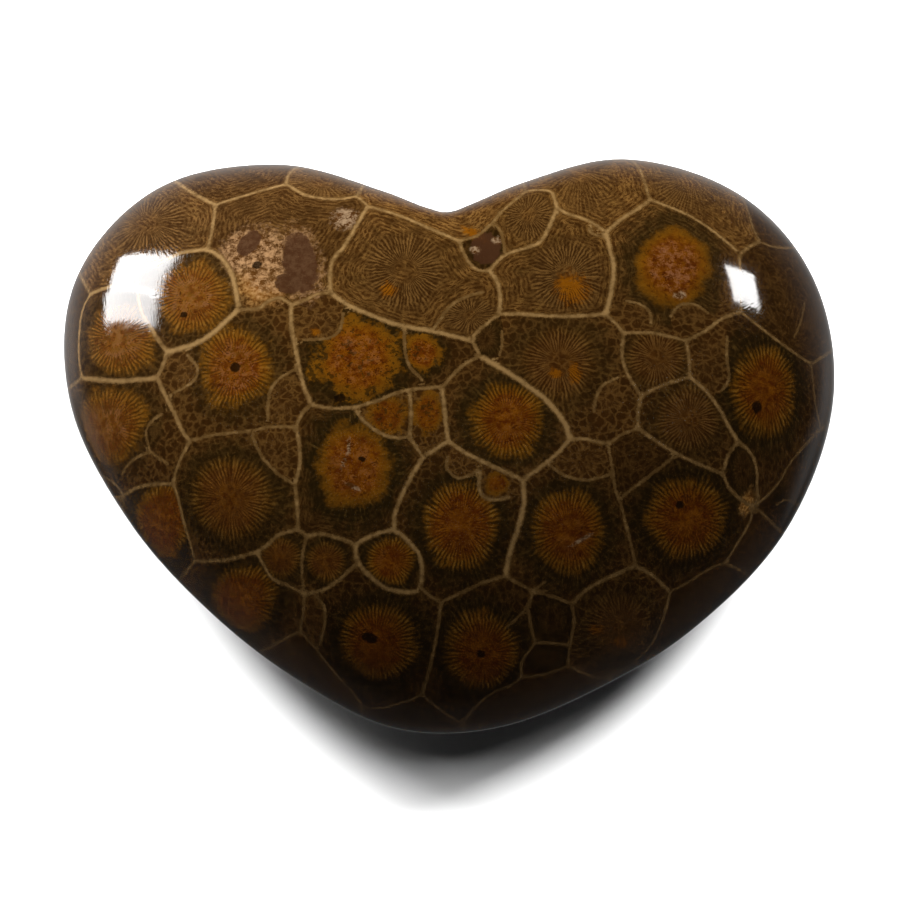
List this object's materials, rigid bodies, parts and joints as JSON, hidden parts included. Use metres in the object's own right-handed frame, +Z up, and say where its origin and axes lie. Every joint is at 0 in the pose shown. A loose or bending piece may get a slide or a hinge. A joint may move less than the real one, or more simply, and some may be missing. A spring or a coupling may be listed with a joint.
{
  "type": "fossil coral palm stone",
  "caption": "Puffy heart-shaped palm stone of polished fossil coral, domed on both faces, with a small flat ground into its belly so that it rests without rocking.",
  "frame": {"origin": "on the resting plane, under the middle of the stone's bounding box", "axes": "+X across the heart's width, towards the lobe on the right of the picture; +Y from the blunt point to the notch; +Z up, out of the domed face that the picture shows"},
  "size_m": [0.0766, 0.0622, 0.0297],
  "materials": {
    "polished_coral": "polished"
  },
  "bodies": {
    "root": {"heart_stone": "polished_coral"}
  },
  "joints": []
}
